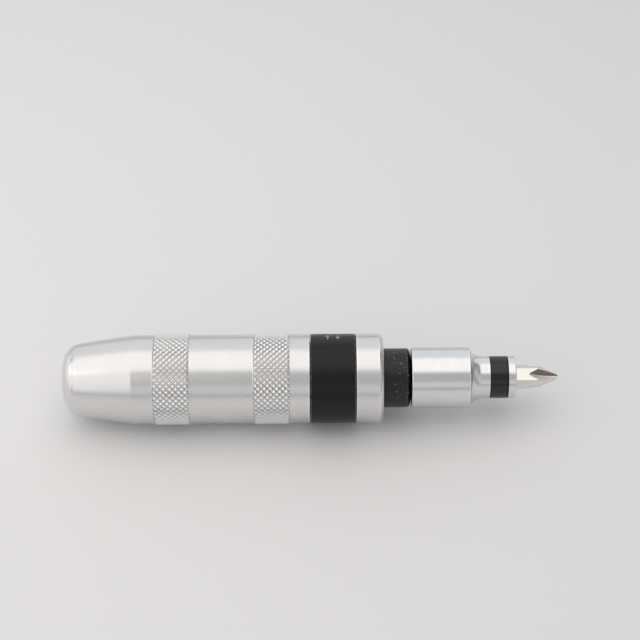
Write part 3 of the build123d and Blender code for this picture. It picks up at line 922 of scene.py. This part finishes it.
def add_hexagon_bar(start_x, end_x, width):
    """A hexagon bar along the tool, one of its flats turned as the bit is."""
    upright = Matrix.Rotation(radians(working_turn), 3, "X") @ Matrix.Rotation(pi / 2, 3, "Y")
    bar = start_piece("hexagon_bar", bpy.ops.mesh.primitive_cylinder_add, vertices=6,
                      radius=width / 2 / flat_share, depth=end_x - start_x,
                      location=((start_x + end_x) / 2, 0, 0), rotation=upright.to_euler())
    bpy.ops.object.mode_set(mode="OBJECT")
    return bar


def countersink(piece, face_x, side, radius):
    """Open the mouth of a hole in an end face that looks forward (1) or back (-1)."""
    inside, outside = face_x - side * mouth_depth, face_x + side * mouth_depth
    cone = draw_outline("countersink", [(inside, 0), (inside, radius - mouth_depth),
                                        (outside, radius + mouth_depth), (outside, 0)])
    shape_with(piece, turn_on_lathe(cone, lathe_sides))


socket_corner = drive_corner + socket_gap
socket_bottom_x = spindle_high.x + socket_end_gap
shape_with(holder, add_square_bar(holder_low.x - overrun, socket_bottom_x,
                                  drive_width + 2 * socket_gap, socket_corner, fit_gap))
countersink(holder, holder_low.x, -1, socket_corner + mouth_spread)
hexagon_bottom_x = socket_bottom_x + web_thickness
socket_width = hexagon_width + 2 * hexagon_gap
shape_with(holder, add_hexagon_bar(hexagon_bottom_x, holder_high.x + overrun, socket_width))
countersink(holder, holder_high.x, 1, socket_width / 2 / flat_share + mouth_spread)
bit_ball_x = (bit_ball_low.x + bit_ball_high.x) / 2
bit_ball_radius = (bit_ball_high.x - bit_ball_low.x) / 2
bit_ball_middle = Vector((bit_ball_x, 0, 0))
shape_with(holder, add_peg(bit_ball_radius + fit_gap, bit_ball_middle,
                           bit_ball_middle + ball_side * stem_radius))


def make_satin_chrome(name):
    """Satin chrome over fine turning lines, hazed a little by handling, with painted shade in the
    band's groove and at its ends, a painted highlight on the body's front edge and a painted shade
    line in the step behind the waist."""
    material, shader, place = start_finish(name, (0.79, 0.785, 0.79), 1, 0.22)
    x, radius = along_and_out(place)
    lines = turning_lines(x, radius, 7)
    haze = clouds(place, 0.3, 3)
    colour = tint(haze, (0.80, 0.795, 0.80), (0.74, 0.73, 0.735))
    # Painted shade: near black in the band's groove and the gaps at its ends.
    painted_gap_shade = between(x, band_low.x / mm - 0.1, band_high.x / mm + 0.2, 0.05)
    step_x = body_end_x / mm
    # Painted highlight: a paler band on the body's front edge, where it catches the light.
    rubbed = between(x, step_x - 0.7, step_x - 0.35, 0.1)
    # Painted shade: a dark line in the step behind the body, as if in its shadow.
    painted_step_shade = between(x, step_x - 0.05, step_x + 0.1, 0.08)
    colour = tint(painted_gap_shade, colour, (0.02, 0.02, 0.02))
    colour = tint(rubbed, colour, (0.84, 0.835, 0.84))
    colour = tint(painted_step_shade, colour, (0.3, 0.3, 0.3))
    feed(shader, {"Base Color": colour,
                  "Roughness": 0.18 + haze * 0.07 + lines * 0.04,
                  "Normal": dents(lines * 0.5 + clouds(place, 5, 3) * 0.5, 0.006 * mm)})
    return material


finish_piece(holder, "bit_holder", "holder_chrome", make_satin_chrome("satin_chrome"),
             "bit_holder")
dress(ground_steel, "bit_retaining_ball")

# Holder band: a black spring-steel sleeve snapped into the groove of the holder's stem. It covers
# the ball and presses it on the bit.
band_edge = 0.2 * mm
band_end_gap = 0.15 * mm
band_x, band_end_x = band_low.x + band_end_gap, band_high.x - band_end_gap

band = draw_outline("holder_band_skin", [(band_x, band_seat_radius), (band_x, stem_radius),
                                         (band_end_x, stem_radius),
                                         (band_end_x, band_seat_radius),
                                         (band_x, band_seat_radius)])
round_corner(band, band_x, stem_radius, band_edge, fine_round)
round_corner(band, band_end_x, stem_radius, band_edge, fine_round)
turn_on_lathe(band, lathe_sides)


def make_black_lacquer(name):
    """Satin black lacquer, glossier than the ring, with faint rings under it."""
    material, shader, place = start_finish(name, (0.006, 0.0055, 0.006), 0, 0.24,
                                           Specular_IOR_Level=0.5)
    x, radius = along_and_out(place)
    lines = turning_lines(x, radius, 2.5)
    colour = tint(clouds(place, 0.8, 3), (0.004, 0.0036, 0.004), (0.008, 0.0073, 0.008))
    feed(shader, {"Base Color": colour,
                  "Roughness": 0.17 + lines * 0.07,
                  "Normal": dents(lines * 0.6 + clouds(place, 5, 2) * 0.4, 0.008 * mm)})
    return material


finish_piece(band, "bit_holder", "band_black", make_black_lacquer("black_lacquer"),
             "holder_band")

# Bit: hexagon bar with a turned point and four flutes milled by a wheel with a rounded V edge,
# then nickelled. Its ground flats stay bright and the flutes keep a browner, duller skin.
bit_low, bit_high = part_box("phillips_bit")
bit_edge = 0.5 * mm
taper_length = 8.0 * mm
tip_radius = 0.9 * mm
flute_count = 4
flute_length = 11.0 * mm
flute_core = 0.7 * mm
flute_round = 0.9 * mm
wheel_sides = 120
edge_steps = 8
bit_bevel = 0.05 * mm
bit_sliver = 0.08 * mm
flat_angle = 0.5
sharp_angle = 25
hexagon_corner = hexagon_width / 2 / flat_share
skin_radius = hexagon_corner + fit_gap
taper_x = bit_high.x - taper_length
tip_x = bit_high.x - weld_reach

bit = add_hexagon_bar(bit_low.x, bit_high.x + overrun, hexagon_width)
bit.name = "cross_point_bit"
envelope = draw_outline("envelope", [(bit_low.x, 0), (bit_low.x, hexagon_corner - bit_edge),
                                     (bit_low.x + bit_edge, skin_radius), (taper_x, skin_radius),
                                     (tip_x, tip_radius), (tip_x, 0)])
shape_with(bit, turn_on_lathe(envelope, lathe_sides), "INTERSECT")

flute_depth = hexagon_width / 2 - flute_core
wheel_radius = (flute_depth ** 2 + flute_length ** 2) / (2 * flute_depth)
wheel_depth = hexagon_corner + overrun / 2
edge_turns = [pi / 4 * (2 * step / edge_steps - 1) for step in range(edge_steps + 1)]
wheel_edge = [(flute_round * sin(turn), wheel_radius - flute_round * (1 - cos(turn)))
              for turn in edge_turns]
side_x, side_radius = wheel_edge[-1]
wheel_side = (-side_x - wheel_depth, side_radius - wheel_depth)
wheel_outline = [wheel_side, *wheel_edge, (-wheel_side[0], wheel_side[1]), wheel_side]
for flute in range(flute_count):
    outward = side_direction(working_turn + 360 / flute_count * flute)
    wheel = draw_outline("wheel", wheel_outline)
    turn_on_lathe(wheel, wheel_sides)
    wheel.rotation_euler = Vector((1, 0, 0)).cross(outward).to_track_quat("X", "Z").to_euler()
    wheel.location = Vector((bit_high.x, 0, 0)) + outward * (flute_core + wheel_radius)
    bpy.context.view_layer.update()
    shape_with(bit, wheel)

clean_cuts(bit, bit_sliver)
bpy.ops.object.mode_set(mode="EDIT")
bpy.ops.mesh.select_all(action="SELECT")
bpy.ops.mesh.dissolve_limited(angle_limit=radians(flat_angle))
bpy.ops.object.mode_set(mode="OBJECT")
rounding = bit.modifiers.new("rounding", "BEVEL")
rounding.width = bit_bevel
rounding.segments = small_round
rounding.limit_method = "ANGLE"
rounding.angle_limit = radians(sharp_angle)
rounding.use_clamp_overlap = False
bpy.ops.object.modifier_apply(modifier=rounding.name)


def make_nickel(name):
    """Bright nickel on the ground flats and the point's skin. Each flute is duller, with one wall
    painted pale as a highlight and the other painted dark brown as shade."""
    material, shader, place = start_finish(name, (0.82, 0.8, 0.77), 1, 0.2)
    x, radius = along_and_out(place)
    toward = {turn: place.node("ShaderNodeVectorMath", {"operation": "DOT_PRODUCT"},
                               {0: place, 1: side_direction(working_turn + turn)}, "Value")
              for turn in (0, 60, 90, 120)}
    reaches = [x.maths("ABSOLUTE", toward[turn]) for turn in (0, 60, 120)]
    across_flats = x.maths("MAXIMUM", x.maths("MAXIMUM", reaches[0], reaches[1]), reaches[2])
    flat_radius = hexagon_width / 2 / mm
    taper = (skin_radius - tip_radius) / taper_length
    point_radius = (bit_high.x / mm - x) * taper + tip_radius / mm
    skin = x.maths("MAXIMUM", rise(across_flats, flat_radius - 0.05, flat_radius - 0.01),
                   rise(radius - point_radius, -0.09, -0.03))
    flute = (1 - skin) * rise(x, (taper_x - flute_length) / mm, taper_x / mm)
    turn = x.maths("ARCTAN2", toward[90], toward[0])
    # Painted highlight and shade: one wall of each flute is pale as if lit, the other dark brown
    # as if in shade.
    painted_lit_wall = rise(x.maths("SINE", turn * flute_count), -0.5, 0.3)
    scratches = clouds(place, 1.4, 4)
    grinding = x.node("ShaderNodeTexNoise", {"noise_dimensions": "1D"},
                      {"W": x, "Scale": 4.0, "Detail": 3}, "Fac")
    colour = tint(scratches, (0.83, 0.81, 0.78), (0.76, 0.735, 0.70))
    milled = tint(painted_lit_wall, (0.24, 0.2, 0.18), (0.9, 0.82, 0.77))
    feed(shader, {"Base Color": tint(flute, colour, milled),
                  "Metallic": 1 - flute * painted_lit_wall * 0.5,
                  "Roughness": 0.17 + scratches * 0.06 + flute * (0.12 + painted_lit_wall * 0.18),
                  "Normal": dents(grinding * 0.6 + scratches * 0.4, 0.008 * mm)})
    return material


finish_piece(bit, "bit", "bit_nickel", make_nickel("nickel"), "phillips_bit",
             sharp=sharp_angle)

# Floor, lights and camera: a plain pale floor, large soft lamps all round, and a camera that
# looks down at 45 degrees with the tool across the picture.
floor_size = 6
tool_middle = Vector((0.09, 0, 0))
bpy.ops.object.select_all(action="DESELECT")
bpy.ops.mesh.primitive_plane_add(size=floor_size, location=(tool_middle.x, 0, cad_low.z))
floor = bpy.context.object
floor.name = "floor"
floor.data.materials.append(start_finish("floor_paint", (0.8, 0.8, 0.8), 0, 0.9)[0])

world = bpy.data.worlds.new("studio")
bpy.context.scene.world = world
world.use_nodes = True
sky = world.node_tree.nodes["Background"].inputs
sky["Color"].default_value = (0.3, 0.3, 0.305, 1)
sky["Strength"].default_value = 1.0


def add_softbox(place, aim, width, depth, brightness, colour=(1, 1, 1)):
    """A flat lamp facing a point, whose face adds so much to the brightness of what lies
    behind it."""
    bpy.ops.object.light_add(type="AREA", location=place,
                             rotation=(aim - place).to_track_quat("-Z", "Y").to_euler())
    lamp = bpy.context.object.data
    lamp.shape = "RECTANGLE"
    lamp.size = width
    lamp.size_y = depth
    lamp.energy = brightness * pi * width * depth
    lamp.color = colour


warm, ivory, cool = (1, 0.96, 0.925), (1, 0.97, 0.94), (0.93, 0.96, 1)
overhead, behind = Vector((-0.45, 0.034, 0.6)), Vector((0.09, 0.9, 0.82))
low_front, high_front = Vector((0.09, -1.2, 0.38)), Vector((0.09, -0.834, 0.863))
left, right = Vector((-0.85, 0.06, 0.27)), Vector((1.05, -0.3, 0.45))
low_left_front, high_left_front = Vector((-0.47, -0.584, 0.5)), Vector((-0.415, -0.527, 0.628))
straight_down, straight_along_y = Vector((1, 1, 0)), Vector((1, 0, 1))
straight_along_x = Vector((0, 1, 1))
add_softbox(overhead, overhead * straight_down, 1.9, 0.65, 0.95, warm)
add_softbox(behind, behind * straight_along_y, 2.4, 1.47, 0.58, cool)
add_softbox(low_front, low_front * straight_along_y, 2.4, 0.55, 0.42)
add_softbox(high_front, tool_middle, 2.4, 0.7, 0.2)
add_softbox(low_left_front, tool_middle, 0.7, 0.85, 0.42, ivory)
add_softbox(high_left_front, tool_middle, 0.7, 0.55, 0.21, ivory)
add_softbox(left, left * straight_along_x, 1.4, 0.52, 0.7)
add_softbox(right, tool_middle, 1.1, 0.6, 0.25)

focal_pixels = 1850
picture_width = 640
tool_pixel_below_centre = 58.3
aim_x = 96.06 * mm
camera_distance = 697 * mm
camera_elevation = 45.0
camera_azimuth = -0.58

towards = Vector((sin(radians(camera_azimuth)) * cos(radians(camera_elevation)),
                  -cos(radians(camera_azimuth)) * cos(radians(camera_elevation)),
                  sin(radians(camera_elevation))))
bpy.ops.object.camera_add(location=Vector((aim_x, 0, 0)) + towards * camera_distance)
camera = bpy.context.object
camera.data.lens = camera.data.sensor_width * focal_pixels / picture_width
pitch_down = radians(camera_elevation) - atan(tool_pixel_below_centre / focal_pixels)
camera.rotation_euler = (pi / 2 - pitch_down, 0, radians(camera_azimuth))
bpy.context.scene.camera = camera
bpy.context.scene.view_settings.view_transform = "Standard"
